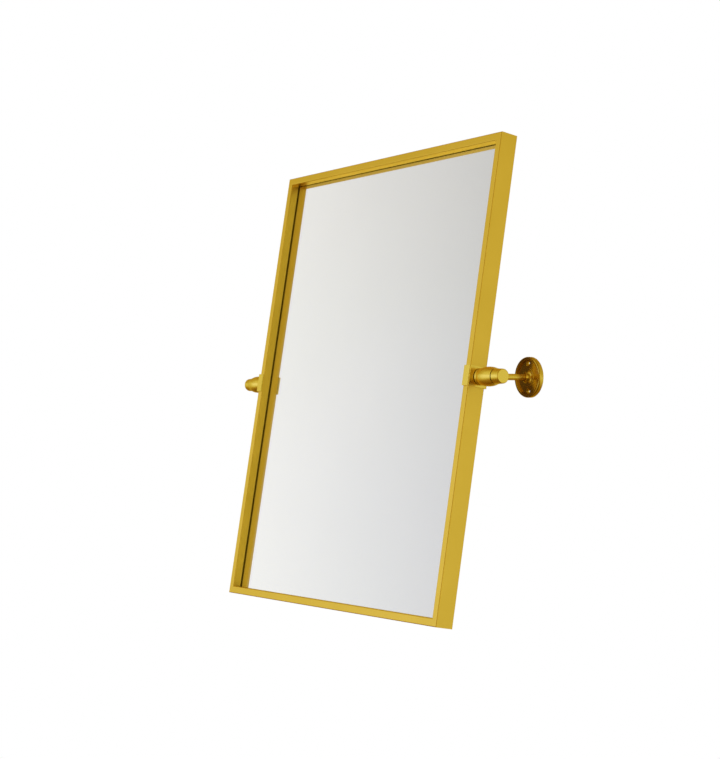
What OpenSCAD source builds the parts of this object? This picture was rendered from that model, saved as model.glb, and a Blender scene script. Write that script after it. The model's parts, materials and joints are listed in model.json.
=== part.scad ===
// Pivot wall mirror: a framed mirror that leans between two wall brackets.
// All sizes are millimetres and degrees.
// X runs along the wall, Y points into the wall and Z is up.
// The origin is on the wall, midway between the two rosettes.
// Bracket pieces are drawn on the +X side and mirrored for the other side.

/* [Frame] */
// Outer width of the frame
frame_w = 508; // [300:2:800]
// Outer height of the frame
frame_h = 610; // [400:2:900]
// Depth of the frame from front to back
frame_d = 25; // [20:0.5:40]
// Width of the front face and of the back lip
face_w = 10; // [9:0.5:20]
// Wall of the hollow frame section
section_wall = 1.6; // [1.2:0.1:2.4]
// Space behind the backing board, for the spring clips and the plates
rear_space = 5.1; // [4:0.1:10]
// Rounding of the two front edges
front_edge_r = 1.2; // [0.5:0.1:2]
// Rounding of the outer back edge
back_edge_r = 1.2; // [0.5:0.1:2]

/* [Glass and backing] */
// Thickness of the mirror glass
glass_t = 4; // [3:0.5:5]
// Thickness of the backing board
board_t = 3; // [2:0.5:4]
// Gap between the pane's edge and the frame's outer wall
pane_gap = 0.9; // [0.5:0.1:1.5]
// Thickness of a spring clip's leaf
leaf_t = 0.6; // [0.4:0.1:1]
// Length of a spring clip between its two ends
leaf_span = 40; // [24:1:60]
// Width of a spring clip
leaf_w = 6; // [4:0.5:7]

/* [Corners] */
// Thickness of a corner plate
corner_plate_t = 3; // [2:0.5:3.5]
// Length of each arm of a corner plate
corner_arm = 35; // [28:1:60]
// Gap between a plate in the channel and the frame's outer wall
channel_gap = 0.2; // [0.1:0.1:0.5]
// Distance of a corner screw from the frame's corner
corner_screw_reach = 24; // [18:1:26]
// Diameter of a wall bumper
bumper_d = 6; // [5:0.5:8]
// Thickness of a wall bumper
bumper_t = 2; // [1:0.5:4]
// Distance of a wall bumper from the back lip's inner edge
bumper_margin = 0.7; // [0.2:0.1:2]

/* [Clip] */
// Height of the clip along the frame
clip_h = 25; // [20:1:50]
// Thickness of the clip's strap
clip_t = 2; // [1.5:0.1:3]
// Outer bend radius of the strap
clip_bend_r = 1.6; // [0.5:0.1:2]
// Play between the strap and the frame
clip_fit = 0.1; // [0.05:0.05:0.3]
// Distance between the two screws of a clip
clip_screw_pitch = 14; // [12:1:18]
// Thickness of the nut plate behind the back lip
nut_plate_t = 3; // [2:0.5:3.5]
// Height of the nut plate
nut_plate_h = 24; // [22:1:50]

/* [Small screws] */
// Thread diameter of the clip and corner screws
screw_d = 3; // [2.5:0.5:3]
// Head diameter of the clip and corner screws
screw_head_d = 5.4; // [5:0.1:6]
// Play of a screw in its clearance hole, on the radius
screw_play = 0.2; // [0.1:0.05:0.4]
// Play of a screw in its thread, on the radius
thread_play = 0.05; // [0.02:0.01:0.1]

/* [Pivot] */
// Diameter of the collar beside the clip
collar_d = 21; // [14:0.5:30]
// Length of the collar
collar_len = 3; // [2:0.5:8]
// Diameter of the pin where it is riveted through the clip
rivet_d = 8; // [6:0.5:10]
// Diameter of the journal that turns in the bush
journal_d = 8; // [7:0.5:9]
// Diameter of the threaded end of the pin
pin_thread_d = 6; // [4:0.5:6]
// Thread left standing out of the lock nut
thread_tail = 1.5; // [0.5:0.5:2]
// Running clearance of the journal in the bush, on the radius
running_play = 0.05; // [0.02:0.01:0.1]
// Gap between faces that turn against each other
end_play = 0.15; // [0.1:0.05:0.3]
// Wall of the bush
bush_wall = 1; // [0.8:0.1:1.5]
// Thickness of the bush's flange
bush_flange_t = 1; // [0.6:0.1:2]
// How much smaller than the collar the bush's flange is, on the radius
flange_step = 1.3; // [0.3:0.1:2]

/* [Friction stack] */
// Outer diameter of the washers
washer_d = 12; // [10:0.5:13]
// Thickness of the thrust washer
thrust_t = 1; // [0.5:0.1:1.5]
// Thickness of the disc spring's plate
spring_t = 0.6; // [0.4:0.1:0.8]
// Height of the disc spring's cone above its plate
spring_cone = 0.7; // [0.4:0.1:1]
// Thickness of the flat washer
flat_t = 1; // [0.8:0.1:1.5]
// Width of the lock nut across its flats
nut_flats = 10; // [8:0.5:10]
// Thickness of the lock nut
nut_t = 5.5; // [4:0.5:6]

/* [Barrel and end cap] */
// Largest diameter of the barrel
barrel_d = 24; // [22:0.5:34]
// Length of the barrel with its bead
barrel_len = 31; // [30:0.5:60]
// How far the barrel bulges above its two ends, on the radius
barrel_crown = 2; // [0.5:0.1:3]
// Length of the bead at the barrel's mirror end
bead_len = 3.6; // [2:0.2:6]
// How far the bead bulges above its two ends, on the radius
bead_crown = 0.6; // [0.3:0.1:0.9]
// Diameter of the bore that holds the friction stack
stack_bore_d = 14; // [13.5:0.1:14.5]
// Width of the dark groove between the barrel and the end cap
cap_groove = 0.9; // [0.3:0.1:1.5]
// Length of the end cap outside the barrel
cap_len = 12.6; // [8:0.2:20]
// Diameter of the end cap next to the barrel
cap_root_d = 19; // [17:0.2:20]
// Diameter of the end cap at its flat end
cap_end_d = 17.8; // [15:0.2:19]
// Rounding of the end cap's flat end
cap_edge_r = 1.2; // [0.4:0.1:1.6]
// Wall of the end cap at its flat end
cap_end_wall = 5; // [3:0.5:6]
// Length of the end cap's spigot inside the barrel
cap_spigot_len = 2.4; // [1.5:0.1:3]
// Wall of the end cap's spigot
cap_spigot_wall = 0.7; // [0.5:0.1:0.8]

/* [Post] */
// Diameter of the post
post_d = 8; // [6:0.5:8.5]
// Diameter of the stub that screws into the barrel
stub_d = 6; // [4:0.5:6]
// Wall left between the stub's hole and the bush
stub_floor = 1.2; // [0.8:0.1:2]
// Wall left between the stub's hole and the stack bore
stub_wall = 1.2; // [0.8:0.1:3]
// Depth of the flat seat of the post in the barrel
post_seat = 1; // [0.9:0.1:1.5]

/* [Rosette] */
// Diameter of the rosette
rosette_d = 50; // [46:1:80]
// Thickness of the rosette at its rim
rosette_t = 6; // [5.5:0.5:8]
// Radius of the rolled rim
rim_r = 2; // [1:0.1:2.4]
// Depth of the face below the top of the rim, where they meet
dish = 2.8; // [1:0.1:3]
// How far the domed face rises from there to its middle
dome = 2; // [0.4:0.1:2.6]
// Diameter of the raised step round the hub
step_d = 23.6; // [23:0.2:26]
// Height of the raised step
step_h = 0.9; // [0.3:0.1:2]
// Radius of the hub's trumpet flare
flare_r = 6; // [4:0.5:6.5]
// Wall of the hub where the post goes in
hub_lip = 0.4; // [0.4:0.1:0.8]
// Thickness of the hub's floor behind the post
hub_floor = 2.2; // [1.5:0.1:3]
// Distance between the two wall screw holes
wall_hole_pitch = 34.5; // [33:0.5:36]
// Diameter of a wall screw hole
wall_hole_d = 4; // [3.5:0.1:5]
// Diameter of a wall screw's countersink
wall_sink_d = 7; // [6:0.2:8]

/* [Post screw] */
// Thread diameter of the post screw
post_screw_d = 5; // [4:0.5:5]
// Length of the post screw below its head
post_screw_len = 14; // [10:1:25]
// Head diameter of the post screw
post_screw_head_d = 8.5; // [7:0.5:9]
// Head height of the post screw
post_screw_head_h = 2.7; // [2:0.1:2.8]

/* [Lean] */
// Lean at which the top bumpers reach the wall, which is also the lean drawn
max_lean = 9.5; // [6:0.5:14]
// Gap left between the bumpers and the wall at that lean
wall_gap = 0.6; // [0.1:0.1:3]

/* [Hidden] */

$fn = 64;
// Facets of a whole circle where only a short arc of it is used
long_arc_fn = 360;
// A cut runs this far past the faces that it goes through
past = 1;
LEFT = -1;
RIGHT = 1;
BOTTOM = -1;
TOP = 1;

// Colours
gold = [0.80, 0.66, 0.24];
dark_gold = [0.52, 0.38, 0.10];
steel = [0.72, 0.72, 0.74];
spring_steel = [0.45, 0.46, 0.50];
nylon_black = [0.10, 0.09, 0.08];
nylon_white = [0.92, 0.91, 0.87];
mirror_silver = [0.86, 0.88, 0.89];
board_brown = [0.45, 0.33, 0.22];
rubber_grey = [0.25, 0.25, 0.26];

// Depths in the leaning panel, from the pivot's axis at mid depth, towards the wall
front_y = -frame_d / 2;
back_y = frame_d / 2;
lip_y = back_y - section_wall;
channel_y = lip_y - rear_space;
board_y = channel_y - board_t;
glass_y = board_y - glass_t;
strap_in_y = back_y + clip_fit;
strap_out_y = strap_in_y + clip_t;

// Depth of the front box, which the glass rests against
glass_recess = glass_y - front_y;

// The panel's outline
half_w = frame_w / 2;
half_h = frame_h / 2;
pane_inset = section_wall + pane_gap;
plate_inset = section_wall + channel_gap;
channel_mid = (section_wall + face_w) / 2;
plate_w = face_w - plate_inset;

// Small screws
screw_r = screw_d / 2;
screw_head_r = screw_head_d / 2;
screw_hole_r = screw_r + screw_play;
tapped_r = screw_r + thread_play;

// Places along X on the +X side, from the frame outwards
clip_in_x = half_w + clip_fit;
clip_x = clip_in_x + clip_t;
collar_x = clip_x + collar_len;
bush_x = collar_x + end_play;
barrel_x = bush_x + bush_flange_t;
body_x = barrel_x + bead_len;
post_x = barrel_x + barrel_len / 2;
stack_x = post_x + stub_d / 2 + stub_wall;
barrel_end_x = barrel_x + barrel_len;
cap_x = barrel_end_x + cap_groove;
cap_end_x = cap_x + cap_len;
cap_cavity_x = cap_end_x - cap_end_wall;
spigot_x = barrel_end_x - cap_spigot_len;
thrust_x = stack_x + end_play;
spring_x = thrust_x + thrust_t;
flat_x = spring_x + spring_t + spring_cone;
nut_x = flat_x + flat_t;
pin_end_x = nut_x + nut_t + thread_tail;

// Radii about the pivot's axis
journal_r = journal_d / 2;
pin_thread_r = pin_thread_d / 2;
bush_bore_r = journal_r + running_play;
bush_r = bush_bore_r + bush_wall;
barrel_r = barrel_d / 2;
barrel_end_r = barrel_r - barrel_crown;
stack_bore_r = stack_bore_d / 2;
spigot_r = stack_bore_r - thread_play;
washer_r = washer_d / 2;
washer_bore_r = pin_thread_r + screw_play;
nut_r = nut_flats / 2 / cos(30);

// Places along Y on the wall side, measured from the wall
bumper_reach = back_y + bumper_t;
bumper_inset = face_w - bumper_margin - bumper_d / 2;
bumper_edge = half_h - bumper_inset + bumper_d / 2;
axis_gap = bumper_edge * sin(max_lean) + bumper_reach * cos(max_lean) + wall_gap;
post_r = post_d / 2;
stub_r = stub_d / 2;
stub_top = bush_r + stub_floor;
post_seat_r = barrel_r - post_seat;
rosette_r = rosette_d / 2;
rim_mid_r = rosette_r - rim_r;
rim_in_r = rim_mid_r - rim_r;
face_low = rosette_t - dish;
dome_r = (rim_in_r * rim_in_r + dome * dome) / (2 * dome);
step_base = face_height(step_d / 2);
step_top = step_base + step_h;
step_mid_r = step_d / 2 - step_h;
hub_r = post_r + hub_lip;
hub_top = step_top + flare_r;
post_floor = post_screw_head_h + hub_floor;
post_screw_r = post_screw_d / 2;
post_screw_tip = post_screw_head_h + post_screw_len;
wall_sink_depth = (wall_sink_d - wall_hole_d) / 2;

// ---------- placing ----------

// Puts a piece that is drawn upright about the pivot's axis into the leaning panel
module on_panel() {
    translate([0, -axis_gap, 0]) rotate([-max_lean, 0, 0]) children();
}

// Puts a bracket piece on the pivot's axis without leaning it
module on_axis() {
    translate([0, -axis_gap, 0]) children();
}

// Draws a piece of the +X side on the side asked for
module on_side(side) {
    if (side == RIGHT) children();
    else mirror([1, 0, 0]) children();
}

// Draws a piece of the +X side on both sides
module on_both_sides() {
    for (side = [LEFT, RIGHT]) on_side(side) children();
}

// Turns an outline of [radius, x] about the pivot's axis
module turned_on_axis() {
    rotate([0, 90, 0]) rotate_extrude() children();
}

// Turns an outline of [radius, height above the wall] about the post's axis
module turned_on_post() {
    translate([post_x, 0, 0]) rotate([90, 0, 0]) rotate_extrude() children();
}

// A rectangle in [radius, length] from r0 to r1 and from l0 to l1
module band(r0, r1, l0, l1) {
    translate([r0, l0]) square([r1 - r0, l1 - l0]);
}

// What has to be cut off a square corner at the origin, in the +X +Y quarter, to round it
module corner_waste(r) {
    difference() {
        translate([-past, -past]) square(r + past);
        translate([r, r]) circle(r);
    }
}

// ---------- small screws ----------

// A countersunk screw along +Y with its flat head at the origin
module small_screw(length) {
    rotate([-90, 0, 0]) {
        cylinder(h = length, r = screw_r);
        cylinder(h = screw_head_r - screw_r, r1 = screw_head_r, r2 = screw_r);
    }
}

// The hole for such a screw, with its countersink, through a sheet
module small_screw_hole(through) {
    rotate([-90, 0, 0]) {
        translate([0, 0, -past]) cylinder(h = through + 2 * past, r = screw_hole_r);
        cylinder(h = screw_head_r - screw_r, r1 = screw_head_r + screw_play, r2 = screw_hole_r);
        translate([0, 0, -past]) cylinder(h = past, r = screw_head_r + screw_play);
    }
}

// Children at both screws of a clip, at the depth given, pointing towards the front
module at_clip_screws(y) {
    for (z = [-1, 1] * clip_screw_pitch / 2)
        translate([half_w - channel_mid, y, z]) rotate([0, 0, 180]) children();
}

// Children at the two screws of the upper right corner, pointing towards the front
module at_corner_screws(y) {
    for (place = [[corner_screw_reach, channel_mid], [channel_mid, corner_screw_reach]])
        translate([half_w - place[0], y, half_h - place[1]]) rotate([0, 0, 180]) children();
}

// Children drawn at the upper right corner, moved to the corner asked for
module at_corner(x_side, z_side) {
    mirror([x_side == RIGHT ? 0 : 1, 0, 0]) mirror([0, 0, z_side == TOP ? 0 : 1]) children();
}

// Children drawn at the upper right corner, at all four corners
module at_all_corners() {
    for (x_side = [LEFT, RIGHT], z_side = [BOTTOM, TOP]) at_corner(x_side, z_side) children();
}

// ---------- frame ----------

// Section of the frame as [distance in from the outer wall, depth from the front]
module frame_section() {
    difference() {
        square([face_w, frame_d]);
        // Hollow of the front box
        translate([section_wall, section_wall])
            square([face_w - 2 * section_wall, glass_recess - 2 * section_wall]);
        // Channel for the glass, the board and the plates
        translate([section_wall, glass_recess])
            square([face_w, frame_d - glass_recess - section_wall]);
        corner_waste(front_edge_r);
        translate([face_w, 0]) mirror([1, 0]) corner_waste(front_edge_r);
        translate([0, frame_d]) mirror([0, 1]) corner_waste(back_edge_r);
    }
}

// A member with mitred ends, lying along X with its outer wall up at the height given
module frame_member(length, height) {
    intersection() {
        translate([0, front_y, height]) rotate([0, 90, 0])
            linear_extrude(length, center = true) frame_section();
        translate([0, back_y + past, height]) rotate([90, 0, 0])
            linear_extrude(frame_d + 2 * past)
                polygon([[-length / 2, 0], [length / 2, 0],
                         [length / 2 - face_w, -face_w], [face_w - length / 2, -face_w]]);
    }
}

// Screw holes in the back lips
module lip_holes() {
    at_all_corners() at_corner_screws(back_y) small_screw_hole(section_wall);
    on_both_sides() at_clip_screws(back_y) small_screw_hole(section_wall);
}

module level_member(z_side) {
    on_panel() difference() {
        mirror([0, 0, z_side == TOP ? 0 : 1]) frame_member(frame_w, half_h);
        lip_holes();
    }
}

module upright_member(side) {
    on_panel() difference() {
        rotate([0, side * 90, 0]) frame_member(frame_h, half_w);
        lip_holes();
    }
}

module frame_top() { color(gold) level_member(TOP); }
module frame_bottom() { color(gold) level_member(BOTTOM); }
module frame_left() { color(gold) upright_member(LEFT); }
module frame_right() { color(gold) upright_member(RIGHT); }

// ---------- glass and backing ----------

// A pane that fills the channel, from the depth given
module pane(y, t) {
    translate([pane_inset - half_w, y, pane_inset - half_h])
        cube([frame_w - 2 * pane_inset, t, frame_h - 2 * pane_inset]);
}

module mirror_glass() {
    color(mirror_silver) on_panel() pane(glass_y, glass_t);
}

module backing_board() {
    color(board_brown) on_panel() pane(board_y, board_t);
}

// A bowed leaf along X that fills the channel between the board and the back lip
module spring_leaf() {
    bow = rear_space - leaf_t;
    outer_r = (leaf_span * leaf_span / 4 + bow * bow) / (2 * bow) + leaf_t;
    translate([0, 0, -leaf_w / 2]) linear_extrude(leaf_w) intersection() {
        translate([0, lip_y - outer_r]) difference() {
            circle(outer_r, $fn = long_arc_fn);
            circle(outer_r - leaf_t, $fn = long_arc_fn);
        }
        translate([-leaf_span / 2, channel_y]) square([leaf_span, rear_space]);
    }
}

module spring_clips() {
    color(spring_steel) on_panel() {
        for (x = [-1, 1] * frame_w / 4, z = [-1, 1] * (half_h - channel_mid))
            translate([x, 0, z]) spring_leaf();
        for (x = [-1, 1] * (half_w - channel_mid), z = [-1, 1] * frame_h / 4)
            translate([x, 0, z]) rotate([0, 90, 0]) spring_leaf();
    }
}

// ---------- corners ----------

module corner_plate(x_side, z_side) {
    color(steel) on_panel() at_corner(x_side, z_side) difference() {
        translate([half_w - plate_inset, lip_y, half_h - plate_inset]) rotate([90, 0, 0])
            linear_extrude(corner_plate_t)
                polygon([[0, 0], [-corner_arm, 0], [-corner_arm, -plate_w],
                         [-plate_w, -plate_w], [-plate_w, -corner_arm], [0, -corner_arm]]);
        at_corner_screws(back_y) rotate([-90, 0, 0])
            cylinder(h = section_wall + corner_plate_t + past, r = tapped_r);
    }
}

module corner_plate_top_left() { corner_plate(LEFT, TOP); }
module corner_plate_top_right() { corner_plate(RIGHT, TOP); }
module corner_plate_bottom_left() { corner_plate(LEFT, BOTTOM); }
module corner_plate_bottom_right() { corner_plate(RIGHT, BOTTOM); }

module corner_screws() {
    color(steel) on_panel() at_all_corners()
        at_corner_screws(back_y) small_screw(section_wall + corner_plate_t);
}

module wall_bumpers() {
    color(rubber_grey) on_panel() at_all_corners()
        translate([half_w - bumper_inset, back_y, half_h - bumper_inset]) rotate([-90, 0, 0])
            rotate_extrude() difference() {
                square([bumper_d / 2, bumper_t]);
                translate([bumper_d / 2, bumper_t]) mirror([1, 0]) mirror([0, 1])
                    corner_waste(bumper_t / 2);
            }
}

// ---------- clips ----------

// Section of the strap in [x, y]: it goes round the front, the side and the back
module clip_section() {
    inner_x = half_w - face_w;
    difference() {
        translate([inner_x, -strap_out_y]) square([clip_x - inner_x, 2 * strap_out_y]);
        translate([inner_x - past, -strap_in_y])
            square([clip_in_x - inner_x + past, 2 * strap_in_y]);
        for (flip = [0, 1]) mirror([0, flip])
            translate([clip_x, -strap_out_y]) mirror([1, 0]) corner_waste(clip_bend_r);
    }
}

module clip(side) {
    color(gold) on_panel() on_side(side) difference() {
        translate([0, 0, -clip_h / 2]) linear_extrude(clip_h) clip_section();
        translate([clip_in_x - past, 0, 0]) rotate([0, 90, 0])
            cylinder(h = clip_t + 2 * past, d = rivet_d);
        at_clip_screws(strap_out_y) small_screw_hole(clip_t);
    }
}

module clip_left() { clip(LEFT); }
module clip_right() { clip(RIGHT); }

module clip_screws() {
    grip = clip_t + clip_fit + section_wall + nut_plate_t;
    color(gold) on_panel() on_both_sides() at_clip_screws(strap_out_y) small_screw(grip);
}

module nut_plate(side) {
    color(steel) on_panel() on_side(side) difference() {
        translate([half_w - face_w, lip_y - nut_plate_t, -nut_plate_h / 2])
            cube([plate_w, nut_plate_t, nut_plate_h]);
        at_clip_screws(back_y) rotate([-90, 0, 0])
            cylinder(h = section_wall + nut_plate_t + past, r = tapped_r);
    }
}

module nut_plate_left() { nut_plate(LEFT); }
module nut_plate_right() { nut_plate(RIGHT); }

// ---------- pivot ----------

module pivot_pin(side) {
    color(gold) on_panel() on_side(side) turned_on_axis() {
        band(0, rivet_d / 2, clip_in_x, clip_x);
        band(0, collar_d / 2, clip_x, collar_x);
        band(0, journal_r, collar_x, stack_x - end_play);
        band(0, pin_thread_r, stack_x - end_play, pin_end_x);
    }
}

module pivot_pin_left() { pivot_pin(LEFT); }
module pivot_pin_right() { pivot_pin(RIGHT); }

module thrust_washers() {
    color(nylon_white) on_panel() on_both_sides() turned_on_axis()
        band(washer_bore_r, washer_r, thrust_x, spring_x);
}

module disc_springs() {
    color(spring_steel) on_panel() on_both_sides() turned_on_axis()
        polygon([[washer_r, spring_x], [washer_r, spring_x + spring_t],
                 [washer_bore_r, flat_x], [washer_bore_r, flat_x - spring_t]]);
}

module flat_washers() {
    color(steel) on_panel() on_both_sides() turned_on_axis()
        band(washer_bore_r, washer_r, flat_x, nut_x);
}

module lock_nuts() {
    color(steel) on_panel() on_both_sides() translate([nut_x, 0, 0]) rotate([0, 90, 0])
        difference() {
            cylinder(h = nut_t, r = nut_r, $fn = 6);
            translate([0, 0, -past]) cylinder(h = nut_t + 2 * past, r = pin_thread_r + thread_play);
        }
}

// ---------- barrel, bush and end cap ----------

// A band from l0 to l1 whose outside bulges above its ends' radius by the crown
module crowned_band(end_r, crown, l0, l1) {
    length = l1 - l0;
    arc_r = (length * length / 4 + crown * crown) / (2 * crown);
    band(0, end_r, l0, l1);
    intersection() {
        band(0, end_r + crown, l0, l1);
        translate([end_r + crown - arc_r, (l0 + l1) / 2]) circle(arc_r, $fn = long_arc_fn);
    }
}

// Outline of the barrel in [radius, x]
module barrel_outline() {
    difference() {
        union() {
            crowned_band(barrel_end_r, bead_crown, barrel_x, body_x);
            crowned_band(barrel_end_r, barrel_crown, body_x, barrel_end_x);
        }
        band(-past, bush_r, barrel_x - past, barrel_end_x + past);
        band(-past, stack_bore_r, stack_x, barrel_end_x + past);
    }
}

module barrel(side) {
    color(gold) on_axis() on_side(side) difference() {
        turned_on_axis() barrel_outline();
        translate([post_x, 0, 0]) rotate([-90, 0, 0]) {
            translate([0, 0, stub_top]) cylinder(h = barrel_r, r = stub_r + thread_play);
            translate([0, 0, post_seat_r]) cylinder(h = barrel_r, r = post_r + thread_play);
        }
    }
}

module barrel_left() { barrel(LEFT); }
module barrel_right() { barrel(RIGHT); }

module bush(side) {
    color(nylon_black) on_axis() on_side(side) turned_on_axis() {
        band(bush_bore_r, bush_r, bush_x, stack_x);
        band(bush_bore_r, collar_d / 2 - flange_step, bush_x, barrel_x);
    }
}

module bush_left() { bush(LEFT); }
module bush_right() { bush(RIGHT); }

module end_cap(side) {
    color(gold) on_axis() on_side(side) turned_on_axis() difference() {
        union() {
            band(0, spigot_r, spigot_x, cap_x);
            polygon([[0, cap_x], [cap_root_d / 2, cap_x], [cap_end_d / 2, cap_end_x],
                     [0, cap_end_x]]);
        }
        band(-past, spigot_r - cap_spigot_wall, spigot_x - past, cap_cavity_x);
        translate([cap_end_d / 2, cap_end_x]) mirror([1, 0]) mirror([0, 1])
            corner_waste(cap_edge_r);
    }
}

module end_cap_left() { end_cap(LEFT); }
module end_cap_right() { end_cap(RIGHT); }

// ---------- post and rosette ----------

module post(side) {
    color(gold) on_side(side) turned_on_post() difference() {
        union() {
            band(0, post_r, post_floor, axis_gap - post_seat_r);
            band(0, stub_r, axis_gap - post_seat_r, axis_gap - stub_top);
        }
        band(-past, post_screw_r + thread_play, post_floor - past, post_screw_tip + past);
    }
}

module post_left() { post(LEFT); }
module post_right() { post(RIGHT); }

module post_screws() {
    color(steel) on_both_sides() turned_on_post() {
        band(0, post_screw_head_d / 2, 0, post_screw_head_h);
        band(0, post_screw_r, post_screw_head_h, post_screw_tip);
    }
}

// Height of the rosette's domed face above the wall, at a distance from its middle
function face_height(r) = face_low + dome - dome_r + sqrt(dome_r * dome_r - r * r);

// Outline of the rosette in [radius, height above the wall]
module rosette_outline() {
    difference() {
        union() {
            // Plate, up to the domed face
            intersection() {
                band(0, rim_mid_r, 0, face_low + dome);
                translate([0, face_low + dome - dome_r]) circle(dome_r, $fn = long_arc_fn);
            }
            // Rolled rim
            band(rim_in_r, rosette_r, 0, rosette_t - rim_r);
            translate([rim_mid_r, rosette_t - rim_r]) circle(rim_r);
            // Raised step with a rounded edge
            band(0, step_mid_r, 0, step_top);
            translate([step_mid_r, step_base]) circle(step_h);
            // Trumpet hub
            difference() {
                band(0, hub_r + flare_r, 0, hub_top);
                translate([hub_r + flare_r, hub_top]) circle(flare_r);
            }
        }
        // Hole for the post, above the hub's floor
        band(-past, post_r + thread_play, post_floor, hub_top + past);
        // Hole and recess for the post screw
        band(-past, post_screw_r + screw_play, -past, hub_top);
        band(-past, post_screw_head_d / 2 + screw_play, -past, post_screw_head_h);
    }
}

module rosette(side) {
    color(dark_gold) on_side(side) difference() {
        turned_on_post() rosette_outline();
        for (z = [-1, 1] * wall_hole_pitch / 2)
            translate([post_x, 0, z]) rotate([90, 0, 0]) {
                translate([0, 0, -past]) cylinder(h = rosette_t + 2 * past, d = wall_hole_d);
                translate([0, 0, face_height(wall_hole_pitch / 2) - wall_sink_depth])
                    cylinder(h = wall_sink_depth + past,
                             d1 = wall_hole_d, d2 = wall_sink_d + 2 * past);
            }
    }
}

module rosette_left() { rosette(LEFT); }
module rosette_right() { rosette(RIGHT); }

// ---------- nodes ----------

frame_top();
frame_bottom();
frame_left();
frame_right();
mirror_glass();
backing_board();
spring_clips();
corner_plate_top_left();
corner_plate_top_right();
corner_plate_bottom_left();
corner_plate_bottom_right();
corner_screws();
wall_bumpers();
clip_left();
clip_right();
clip_screws();
nut_plate_left();
nut_plate_right();
pivot_pin_left();
pivot_pin_right();
thrust_washers();
disc_springs();
flat_washers();
lock_nuts();
barrel_left();
barrel_right();
bush_left();
bush_right();
end_cap_left();
end_cap_right();
post_left();
post_right();
post_screws();
rosette_left();
rosette_right();
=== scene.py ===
import json
import math

import bmesh
import bpy
from mathutils import Matrix, Vector


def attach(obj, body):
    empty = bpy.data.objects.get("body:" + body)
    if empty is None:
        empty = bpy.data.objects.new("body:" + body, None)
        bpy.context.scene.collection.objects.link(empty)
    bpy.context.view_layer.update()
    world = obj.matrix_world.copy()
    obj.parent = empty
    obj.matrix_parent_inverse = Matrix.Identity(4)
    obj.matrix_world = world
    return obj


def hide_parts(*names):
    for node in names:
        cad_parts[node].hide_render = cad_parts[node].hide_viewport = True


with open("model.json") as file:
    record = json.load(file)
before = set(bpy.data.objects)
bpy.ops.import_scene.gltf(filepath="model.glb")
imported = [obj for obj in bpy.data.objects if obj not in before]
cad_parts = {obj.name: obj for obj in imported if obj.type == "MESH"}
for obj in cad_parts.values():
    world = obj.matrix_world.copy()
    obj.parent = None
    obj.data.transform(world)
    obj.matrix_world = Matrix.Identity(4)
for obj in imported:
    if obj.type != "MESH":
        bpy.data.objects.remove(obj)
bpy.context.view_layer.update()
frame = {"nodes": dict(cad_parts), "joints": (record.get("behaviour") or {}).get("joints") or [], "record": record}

# The pivot wall mirror's looks: camera, light, a finish for every piece, and the pane and the
# screws as detailed pieces. Metres, in the row's own frame: +Y into the wall, +Z up.

MM = 0.001

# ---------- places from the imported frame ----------

TILT = frame["joints"][0]
PIVOT = Vector(TILT["pos_m"])
# The mirror is stored leaning back by half of its travel
LEAN = math.radians(TILT["range_deg"][1]) / 2
# Takes the panel, upright with its pivot at the origin, to where it is stored
PANEL = Matrix.Translation(PIVOT) @ Matrix.Rotation(-LEAN, 4, "X")

# ---------- objects and meshes ----------


def put_in_scene(name, data):
    made = bpy.data.objects.new(name, data)
    bpy.context.scene.collection.objects.link(made)
    return made


def finished_mesh(build, name):
    """The mesh of a bmesh, which is freed."""
    mesh = bpy.data.meshes.new(name)
    build.to_mesh(mesh)
    build.free()
    return mesh


# ---------- camera ----------

# Solved from the frame's edges in the photograph. The turn about the vertical and the rise above
# level are in degrees, the lens and the sensor in millimetres.
CAMERA_AT = (1.9333, -1.3346, -0.0539)
CAMERA_TURN = 56.785
CAMERA_RISE = 1.386
CAMERA_LENS = 82.17
CAMERA_SENSOR = 36
CAMERA_NEAR, CAMERA_FAR = 0.1, 60


def make_camera():
    data = bpy.data.cameras.new("camera")
    data.lens = CAMERA_LENS
    data.sensor_width = CAMERA_SENSOR
    data.clip_start, data.clip_end = CAMERA_NEAR, CAMERA_FAR
    camera = put_in_scene("camera", data)
    camera.location = CAMERA_AT
    camera.rotation_euler = (math.radians(90 + CAMERA_RISE), 0, math.radians(CAMERA_TURN))
    bpy.context.scene.camera = camera


# ---------- shader helpers ----------


def linear(red, green, blue):
    """A colour as seen on screen (sRGB, 0 to 255 each) as the shader's linear values."""
    def one(v):
        v /= 255
        return v / 12.92 if v <= 0.04045 else ((v + 0.055) / 1.055) ** 2.4
    return one(red), one(green), one(blue), 1


def grey(level):
    return level, level, level, 1


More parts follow.
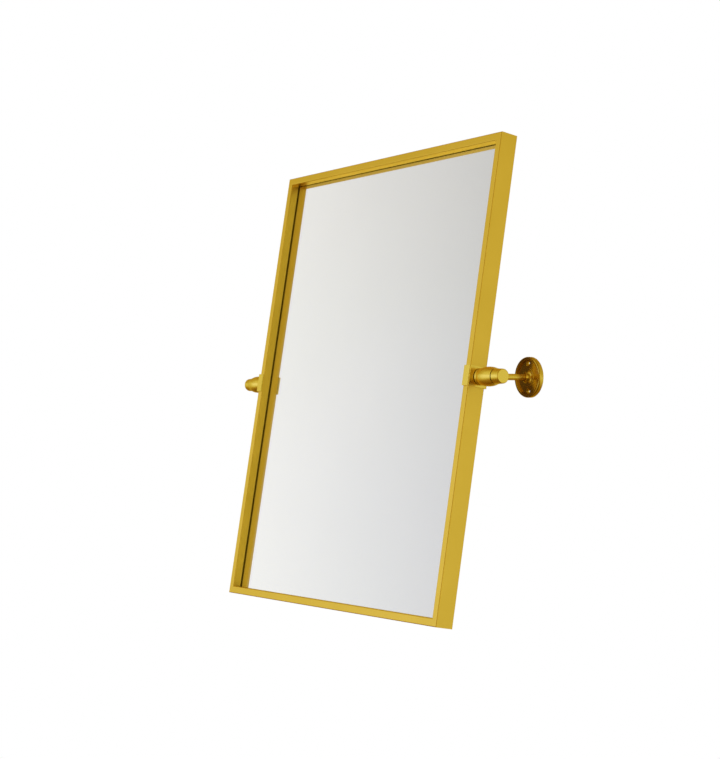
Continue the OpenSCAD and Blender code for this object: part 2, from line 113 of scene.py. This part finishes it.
class Graph:
    """Short ways to make and join nodes of one material or world."""

    def __init__(self, owner):
        owner.use_nodes = True
        self.tree = owner.node_tree
        self.tree.nodes.clear()

    def add(self, kind, inputs=None, **settings):
        """A new node. Each input is a value, or the socket that feeds it."""
        made = self.tree.nodes.new(kind)
        for name, value in settings.items():
            setattr(made, name, value)
        for name, value in (inputs or {}).items():
            if isinstance(value, bpy.types.NodeSocket):
                self.tree.links.new(value, made.inputs[name])
            else:
                made.inputs[name].default_value = value
        return made

    def calc(self, operation, a, b=0.0):
        return self.add("ShaderNodeMath", {0: a, 1: b}, operation=operation).outputs[0]

    def map_range(self, value, low, high, to_low=0.0, to_high=1.0, **settings):
        """value taken from between low and high to between to_low and to_high."""
        inputs = {0: value, 1: low, 2: high, 3: to_low, 4: to_high}
        return self.add("ShaderNodeMapRange", inputs, **settings).outputs[0]

    def centred(self, value):
        """value, which runs from -1 to 1, brought to 0 to 1."""
        return self.map_range(value, -1.0, 1.0)

    def about(self, value, middle, swing):
        """value, which runs from 0 to 1, brought to within swing of middle."""
        return self.map_range(value, 0.0, 1.0, middle - swing, middle + swing)

    def ramp(self, value, stops):
        """A colour ramp through (position, colour) stops, driven by value."""
        made = self.add("ShaderNodeValToRGB", {0: value})
        points = made.color_ramp.elements
        while len(points) < len(stops):
            points.new(1)
        for point, (position, colour) in zip(points, stops):
            point.position = position
            point.color = colour
        return made.outputs[0]

    def shades(self, value, low, high, margin=0.3):
        """From one colour to another while value goes from margin to 1 - margin."""
        return self.ramp(value, [(margin, low), (1 - margin, high)])

    def mix(self, factor, first, second):
        inputs = {0: factor, 2: first, 3: second}
        return self.add("ShaderNodeMix", inputs, data_type="FLOAT").outputs[0]

    def mix_shaders(self, factor, first, second):
        inputs = {0: factor, 1: first.outputs[0], 2: second.outputs[0]}
        return self.add("ShaderNodeMixShader", inputs)

    def emission(self, strength):
        return self.add("ShaderNodeEmission", {"Color": grey(1.0), "Strength": strength})

    def background(self, colour, strength):
        return self.add("ShaderNodeBackground", {"Color": colour, "Strength": strength})


# ---------- materials ----------

# Gold stays warm where it is seen at a flat angle
GOLD_GRAZING = (0.95, 0.83, 0.48, 1)
GOLD_LACQUER = 0.1
GLASS_IOR = 1.52


def make_material(name, build):
    material = bpy.data.materials.new(name)
    graph = Graph(material)
    shader = build(graph)
    graph.add("ShaderNodeOutputMaterial", {"Surface": shader.outputs[0]})
    return material


def object_noise(graph, scale, detail=3.0, stretch=(1, 1, 1)):
    """Noise fixed to the object, from 0 to 1: scale is per metre, times stretch on each axis."""
    place = graph.add("ShaderNodeTexCoord").outputs["Object"]
    squeezed = graph.add("ShaderNodeMapping", {"Vector": place, "Scale": stretch}).outputs[0]
    inputs = {"Vector": squeezed, "Scale": scale, "Detail": detail}
    return graph.add("ShaderNodeTexNoise", inputs).outputs["Fac"]


def bump(graph, height, strength, depth):
    inputs = {"Height": height, "Strength": strength, "Distance": depth}
    return graph.add("ShaderNodeBump", inputs).outputs[0]


def satin_gold(low, high, roughness, lacquer_roughness):
    """Satin gold: cloudy in colour between two shades, with a fine matt grain under a lacquer."""
    def build(graph):
        cloud = object_noise(graph, scale=14)
        grain = object_noise(graph, scale=900, detail=2)
        return graph.add("ShaderNodeBsdfPrincipled", {
            "Base Color": graph.shades(cloud, low, high, margin=0.35),
            "Metallic": 1.0,
            "Roughness": graph.about(grain, roughness, swing=0.05),
            "Normal": bump(graph, grain, strength=0.06, depth=0.1 * MM),
            "Specular Tint": GOLD_GRAZING,
            "Coat Weight": GOLD_LACQUER,
            "Coat Roughness": lacquer_roughness,
        })
    return build


def plated_steel(low, high, roughness):
    """Plated or blued steel: slightly cloudy, with faint scuffs drawn out along the height."""
    def build(graph):
        cloud = object_noise(graph, scale=60)
        scuffs = object_noise(graph, scale=700, detail=2, stretch=(1, 1, 0.15))
        return graph.add("ShaderNodeBsdfPrincipled", {
            "Base Color": graph.shades(cloud, low, high),
            "Metallic": 1.0,
            "Roughness": graph.about(scuffs, roughness, swing=0.08),
            "Normal": bump(graph, scuffs, strength=0.1, depth=0.1 * MM),
        })
    return build


def moulded(low, high, roughness):
    """Plastic or rubber with a faint moulded grain."""
    def build(graph):
        cloud = object_noise(graph, scale=90)
        grain = object_noise(graph, scale=1500, detail=2)
        return graph.add("ShaderNodeBsdfPrincipled", {
            "Base Color": graph.shades(cloud, low, high),
            "Roughness": graph.about(grain, roughness, swing=0.06),
            "Normal": bump(graph, grain, strength=0.2, depth=0.08 * MM),
        })
    return build


def hardboard(graph):
    """Brown hardboard: pressed fibres in two lengths and a slightly waxy face. Its browns are darker than the
    board's own, as painted shade for the wall it faces.
    """
    fibres = object_noise(graph, scale=260, detail=5, stretch=(1, 1, 0.35))
    specks = object_noise(graph, scale=1400, detail=2)
    mean = graph.calc("MULTIPLY", graph.calc("ADD", fibres, specks), 0.5)
    # Browns darkened as painted shade, for the shade of the wall behind the board
    shade_darkened_browns = (0.38, linear(72, 47, 28)), (0.5, linear(92, 60, 35)), (0.62, linear(114, 76, 46))
    return graph.add("ShaderNodeBsdfPrincipled", {
        "Base Color": graph.ramp(mean, shade_darkened_browns),
        "Roughness": graph.about(specks, 0.65, swing=0.1),
        "Normal": bump(graph, mean, strength=0.35, depth=0.2 * MM),
    })


def silver_coat(graph):
    haze = object_noise(graph, scale=5)
    return graph.add("ShaderNodeBsdfPrincipled", {
        "Base Color": graph.shades(haze, grey(0.955), grey(0.97)),
        "Metallic": 1.0,
        "Roughness": 0.0,
    })


def pane_glass(graph):
    """Clear float glass with a faint green cast."""
    tint = object_noise(graph, scale=3)
    return graph.add("ShaderNodeBsdfPrincipled", {
        "Base Color": graph.shades(tint, (0.985, 1.0, 0.992, 1), (0.992, 1.0, 0.996, 1)),
        "Roughness": 0.0,
        "IOR": GLASS_IOR,
        "Transmission Weight": 1.0,
    })


MATERIALS = {
    "frame_gold": satin_gold((0.84, 0.58, 0.092, 1), (0.88, 0.61, 0.104, 1),
                             roughness=0.34, lacquer_roughness=0.2),
    "satin_brass": satin_gold((0.89, 0.67, 0.13, 1), (0.93, 0.70, 0.145, 1),
                              roughness=0.28, lacquer_roughness=0.15),
    # The rosette's brass is a darker copy of the brass: its base is darkened as painted shade, for the dark
    # surroundings its face reflects
    "rosette_brass": satin_gold((0.75, 0.53, 0.09, 1), (0.79, 0.56, 0.10, 1),
                                roughness=0.2, lacquer_roughness=0.12),
    "board": hardboard,
    "zinc_steel": plated_steel(linear(176, 178, 182), linear(206, 207, 208), roughness=0.34),
    "spring_steel": plated_steel(linear(58, 62, 74), linear(84, 86, 94), roughness=0.3),
    "black_nylon": moulded(linear(22, 20, 18), linear(32, 29, 26), roughness=0.5),
    "white_nylon": moulded(linear(214, 212, 204), linear(228, 226, 219), roughness=0.45),
    "rubber": moulded(linear(58, 58, 60), linear(72, 72, 74), roughness=0.7),
}


def dress_nodes():
    """Gives every CAD node but the pane the finish of its slot in the record."""
    finishes = {slot: make_material(slot, build) for slot, build in MATERIALS.items()}
    for part in frame["record"]["subparts"]:
        if part["material_slot"] in finishes:
            mesh = frame["nodes"][part["node"]].data
            mesh.materials.clear()
            mesh.materials.append(finishes[part["material_slot"]])
    return finishes


# ---------- mirror pane ----------

# Width of the pane's ground edges
ARRIS = 0.4 * MM
# Keeps the silver off the backing board's face, which it would otherwise share
SILVER_OFF_BOARD = 0.05 * MM


def upright_box(node):
    """A panel node's lowest and highest corners, with the panel upright and its pivot at 0."""
    upright = PANEL.inverted()
    places = [upright @ v.co for v in frame["nodes"][node].data.vertices]
    lo = Vector([min(p[i] for p in places) for i in range(3)])
    hi = Vector([max(p[i] for p in places) for i in range(3)])
    return lo, hi


def make_pane():
    """The pane: clear front and ground edges, with the silver on its back face."""
    lo, hi = upright_box("mirror_glass")
    hi.y -= SILVER_OFF_BOARD
    build = bmesh.new()
    fill = Matrix.Translation((lo + hi) / 2) @ Matrix.Diagonal((*(hi - lo), 1))
    bmesh.ops.create_cube(build, size=1, matrix=fill)
    bmesh.ops.bevel(build, geom=list(build.edges), offset=ARRIS, segments=1, affect="EDGES")
    for face in build.faces:
        on_back = face.calc_center_median().y > hi.y - ARRIS / 4
        face.material_index = int(on_back)
    build.transform(PANEL)
    mesh = finished_mesh(build, "mirror_pane")
    mesh.materials.append(make_material("pane_glass", pane_glass))
    mesh.materials.append(make_material("silver_coat", silver_coat))
    pane = put_in_scene("mirror_pane", mesh)
    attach(pane, "mirror_panel")
    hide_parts("mirror_glass")


# ---------- screws ----------

RING_SIDES = 48
# How far a head's rim is eased
SCREW_EDGE = 0.15 * MM
# Decimals of a metre to which a screw's outline is read
OUTLINE_DIGITS = 5
# A drive's lobes, their share of its radius, and its width at the bottom as a share of the top
DRIVE_LOBES = 6
LOBE_HEIGHT = 0.14
DRIVE_TAPER = 0.9
# Surfaces that meet at more than this many degrees keep a sharp edge
SCREW_SHARP = 30
# Node, body, slot, where the piece that they sit in stands, and the drive's radius and depth
SCREWS = (
    ("clip_screws", "mirror_panel", "satin_brass", PANEL, 1.4 * MM, 0.9 * MM),
    ("corner_screws", "mirror_panel", "zinc_steel", PANEL, 1.4 * MM, 0.9 * MM),
    ("post_screws", "wall_brackets", "zinc_steel", Matrix(), 2.3 * MM, 1.6 * MM),
)


def separate_pieces(mesh):
    """The corners of each separate piece of a mesh."""
    build = bmesh.new()
    build.from_mesh(mesh)
    taken, pieces = set(), []
    for start in build.verts:
        if start in taken:
            continue
        taken.add(start)
        waiting, piece = [start], []
        while waiting:
            here = waiting.pop()
            piece.append(here.co.copy())
            for edge in here.link_edges:
                beside = edge.other_vert(here)
                if beside not in taken:
                    taken.add(beside)
                    waiting.append(beside)
        pieces.append(piece)
    build.free()
    return pieces


def turned_outline(piece):
    """A screw's axis, as (x, z), and its outline from head to tip, as (radius, y) pairs."""
    axis = [(min(p[i] for p in piece) + max(p[i] for p in piece)) / 2 for i in (0, 2)]
    pairs = {(round(math.hypot(p.x - axis[0], p.z - axis[1]), OUTLINE_DIGITS),
              round(p.y, OUTLINE_DIGITS)) for p in piece}
    return axis, sorted(pairs, key=lambda pair: (-pair[1], -pair[0]))


def lobed(radius):
    """A drive's radius by angle."""
    return lambda angle: radius * (1 - LOBE_HEIGHT + LOBE_HEIGHT * math.cos(DRIVE_LOBES * angle))


def add_ring(build, axis, radius_at, y):
    """A ring of corners about a screw's axis, with the radius by angle."""
    angles = [math.tau * side / RING_SIDES for side in range(RING_SIDES)]
    return [build.verts.new((axis[0] + radius_at(a) * math.cos(a), y,
                             axis[1] + radius_at(a) * math.sin(a))) for a in angles]


def add_screw(build, axis, outline, drive_r, drive_depth):
    """A turned screw with an eased head and a drive sunk into it."""
    (head_r, head_y), rest = outline[0], outline[1:]
    eased = [(head_r - SCREW_EDGE, head_y), (head_r, head_y - SCREW_EDGE)]
    rings = [(lobed(DRIVE_TAPER * drive_r), head_y - drive_depth), (lobed(drive_r), head_y)]
    rings += [(lambda angle, r=radius: r, y) for radius, y in eased + rest]
    loops = [add_ring(build, axis, radius_at, y) for radius_at, y in rings]
    for loop, following in zip(loops, loops[1:]):
        for side in range(RING_SIDES):
            after = (side + 1) % RING_SIDES
            build.faces.new((loop[side], loop[after], following[after], following[side]))
    build.faces.new(loops[0])
    build.faces.new(reversed(loops[-1]))


def make_screws(finishes, node, body, slot, stance, drive_r, drive_depth):
    """A node's screws again, with drives."""
    build = bmesh.new()
    upright = stance.inverted()
    for piece in separate_pieces(frame["nodes"][node].data):
        axis, outline = turned_outline([upright @ place for place in piece])
        add_screw(build, axis, outline, drive_r, drive_depth)
    bmesh.ops.recalc_face_normals(build, faces=build.faces)
    build.transform(stance)
    mesh = finished_mesh(build, node + "_driven")
    mesh.shade_smooth()
    mesh.set_sharp_from_angle(angle=math.radians(SCREW_SHARP))
    mesh.materials.append(finishes[slot])
    screws = put_in_scene(node + "_driven", mesh)
    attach(screws, body)
    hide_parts(node)


# ---------- light ----------

# How strongly the world lights matt surfaces
MATT_LIGHT = 0.8

# What the pane shows fades to the right: (reflected right-hand direction, brightness)
GLASS_FADE = ((-0.08, 1.0), (0.08, 0.624), (0.5, 0.65))
# The white floor gives way to that fade at the horizon: (degrees above it, share of the fade)
GLASS_HORIZON = ((-6, 0.0), (3, 1.0))
# Light that reaches the metal by way of the pane is warm, as in a gold frame
BY_THE_PANE = (0.98, 0.88, 0.3, 1)
# Makes up for the warmth that the pane's inner reflections pick up
IN_THE_PANE = (1.0, 0.996, 1.055, 1)
# The pane itself has one glossy bounce, on its silver. Seen in the metal it has two or more.
PANE_BOUNCES = 1.5

# What the metal sees, by the way it lies in degrees (0 along +X, 90 into the wall): brightness
ROOM = ((-180, 0.69), (-171, 0.70), (-152, 0.72), (-142, 0.97), (-125, 0.97), (-110, 1.02),
        (-95, 0.9), (-75, 0.45), (-60, 0.3), (-45, 0.34), (-36, 0.66), (-20, 0.64), (15, 0.7),
        (33, 0.80), (50, 0.72), (90, 0.65), (120, 0.62), (160, 0.6), (180, 0.69))
# The same by height above the horizon in degrees, on the room's side and on the wall's side
ROOM_HEIGHTS = ((-90, 0.2), (-31, 0.33), (-26, 0.45), (-19, 0.62), (-9, 0.86), (0, 0.95),
                (8, 1.0), (13, 0.92), (19, 0.67), (27, 0.74), (36, 0.7), (90, 0.45))
WALL_HEIGHTS = ((-90, 0.35), (-47, 0.52), (-20, 0.88), (-3, 1.02), (11, 0.8), (47, 0.72),
                (90, 0.5))
# The +Y part of a direction that is wholly on the wall's side
WALL_SIDE = 0.4
# A bright light on the right, which lines the rounded edges: by way, by height, and how bright
STRIP = ((-12, 0.0), (-8, 1.0), (5, 1.0), (9, 0.0))
STRIP_HEIGHTS = ((-30, 0.0), (-14, 1.0), (14, 1.0), (30, 0.0))
STRIP_GAIN = 0.8
# Dim light is warm and bright light is white: (brightness, colour)
TONES = ((0.0, (0.0, 0.0, 0.0)), (0.25, (0.25, 0.13, 0.01)), (0.42, (0.42, 0.28, 0.04)),
         (0.58, (0.58, 0.50, 0.15)), (0.70, (0.70, 0.68, 0.36)), (0.82, (0.82, 0.85, 0.72)),
         (1.0, (1.0, 1.03, 1.2)))

# A round lamp over the room, aimed at the origin. Its power is in watts.
LAMP_AT = (0.6, -1.5, 2.4)
LAMP_WIDTH = 1.6
LAMP_POWER = 24


def reflected(direction):
    """Where the mirror throws back what it sees in a direction."""
    facing = Matrix.Rotation(-LEAN, 3, "X") @ Vector((0, -1, 0))
    return direction - 2 * direction.dot(facing) * facing


def along(cosine):
    """A cosine, from -1 to 1, as a place on a colour ramp."""
    return (cosine + 1) / 2


def rise(degrees):
    """A height above the horizon as a place on a colour ramp."""
    return along(math.sin(math.radians(degrees)))


def round_about(degrees):
    """A compass direction, from -180 to 180, as a place on a colour ramp."""
    return degrees / 360 + 0.5


def levels(graph, value, stops, to_place):
    """A brightness ramp through (measure, brightness) stops, each measure put by to_place."""
    return graph.ramp(value, [(to_place(at), grey(level)) for at, level in stops])


def glass_level(graph, direction):
    """What the pane's silver sees: grey that fades from left to right, above a white floor."""
    turn = math.radians(CAMERA_TURN)
    to_the_right = reflected(Vector((math.cos(turn), math.sin(turn), 0)))
    across = graph.add("ShaderNodeVectorMath", {0: direction, 1: to_the_right},
                       operation="DOT_PRODUCT").outputs["Value"]
    fade = levels(graph, graph.centred(across), GLASS_FADE, along)
    height = graph.centred(graph.add("ShaderNodeSeparateXYZ", {0: direction}).outputs["Z"])
    return graph.mix(levels(graph, height, GLASS_HORIZON, rise), 1.0, fade)


def studio_light(graph, direction):
    """What the metal sees: a soft room, warm where it is dim, and a bright strip."""
    x, y, z = graph.add("ShaderNodeSeparateXYZ", {0: direction}).outputs
    way = graph.map_range(graph.calc("ARCTAN2", y, x), -math.pi, math.pi)
    height = graph.centred(z)
    by_height = graph.mix(graph.map_range(y, 0.0, WALL_SIDE),
                          levels(graph, height, ROOM_HEIGHTS, rise),
                          levels(graph, height, WALL_HEIGHTS, rise))
    level = graph.calc("MULTIPLY", levels(graph, way, ROOM, round_about), by_height)
    colour = graph.ramp(level, [(at, (*colour, 1)) for at, colour in TONES])
    strip = graph.calc("MULTIPLY", levels(graph, way, STRIP, round_about),
                       levels(graph, height, STRIP_HEIGHTS, rise))
    gain = graph.calc("ADD", 1.0, graph.calc("MULTIPLY", strip, STRIP_GAIN))
    return graph.background(colour, gain)


def make_world():
    """White to the camera, plain light for matt surfaces, a warm studio for what shines."""
    world = bpy.data.worlds.new("studio")
    bpy.context.scene.world = world
    graph = Graph(world)
    ray = graph.add("ShaderNodeLightPath").outputs
    direction = graph.add("ShaderNodeTexCoord").outputs["Generated"]

    lit = graph.background(grey(1.0), MATT_LIGHT)
    lit = graph.mix_shaders(ray["Is Glossy Ray"], lit, studio_light(graph, direction))
    level = glass_level(graph, direction)
    from_metal = graph.calc("GREATER_THAN", ray["Glossy Depth"], PANE_BOUNCES)
    pane = graph.mix_shaders(from_metal, graph.background(IN_THE_PANE, level),
                             graph.background(BY_THE_PANE, level))
    lit = graph.mix_shaders(ray["Is Transmission Ray"], lit, pane)
    lit = graph.mix_shaders(ray["Is Camera Ray"], lit, graph.background(grey(1.0), 1.0))
    graph.add("ShaderNodeOutputWorld", {"Surface": lit.outputs[0]})


def make_lamp():
    """The lamp only lights matt surfaces: nothing reflects or shows it."""
    data = bpy.data.lights.new("overhead", "AREA")
    data.shape = "DISK"
    data.size = LAMP_WIDTH
    data.energy = LAMP_POWER
    lamp = put_in_scene("overhead", data)
    lamp.location = LAMP_AT
    lamp.rotation_euler = (-Vector(LAMP_AT)).to_track_quat("-Z", "Y").to_euler()
    lamp.visible_camera = False
    lamp.visible_transmission = False
    lamp.visible_glossy = False


# ---------- floor ----------

FLOOR_DROP = 1.2
FLOOR_RADIUS = 3.0
FLOOR_SIDES = 96
FLOOR_SHADE = 0.35
FLOOR_SPECKLE = 0.01
# Distances from its middle between which the floor fades to white
FADE_FROM, FADE_TO = 0.45 * FLOOR_RADIUS, 0.95 * FLOOR_RADIUS


def floor_paint(graph):
    """Pale floor, topped up to white for the camera and the pane, and white at its rim."""
    place = graph.add("ShaderNodeTexCoord").outputs["Object"]
    away = graph.add("ShaderNodeVectorMath", {0: place}, operation="LENGTH").outputs["Value"]
    rim = graph.map_range(away, FADE_FROM, FADE_TO, interpolation_type="SMOOTHSTEP")
    paint = graph.add("ShaderNodeBsdfDiffuse", {
        "Color": graph.shades(object_noise(graph, scale=40), grey(FLOOR_SHADE - FLOOR_SPECKLE),
                              grey(FLOOR_SHADE + FLOOR_SPECKLE))})
    ray = graph.add("ShaderNodeLightPath").outputs
    seen = graph.calc("MAXIMUM", ray["Is Camera Ray"], ray["Is Transmission Ray"])
    top_up = graph.emission(graph.calc("MULTIPLY", seen, 1 - FLOOR_SHADE))
    pale = graph.add("ShaderNodeAddShader", {0: paint.outputs[0], 1: top_up.outputs[0]})
    return graph.mix_shaders(graph.calc("MULTIPLY", seen, rim), pale, graph.emission(1.0))


def make_floor():
    build = bmesh.new()
    bmesh.ops.create_circle(build, cap_ends=True, segments=FLOOR_SIDES, radius=FLOOR_RADIUS)
    mesh = finished_mesh(build, "floor")
    mesh.materials.append(make_material("floor_paint", floor_paint))
    floor = put_in_scene("floor", mesh)
    floor.location.z = -FLOOR_DROP
    floor.visible_glossy = False


# ---------- build ----------

make_camera()
made_finishes = dress_nodes()
for row in SCREWS:
    make_screws(made_finishes, *row)
make_pane()
make_world()
make_floor()
make_lamp()
bpy.context.scene.view_settings.view_transform = "Standard"
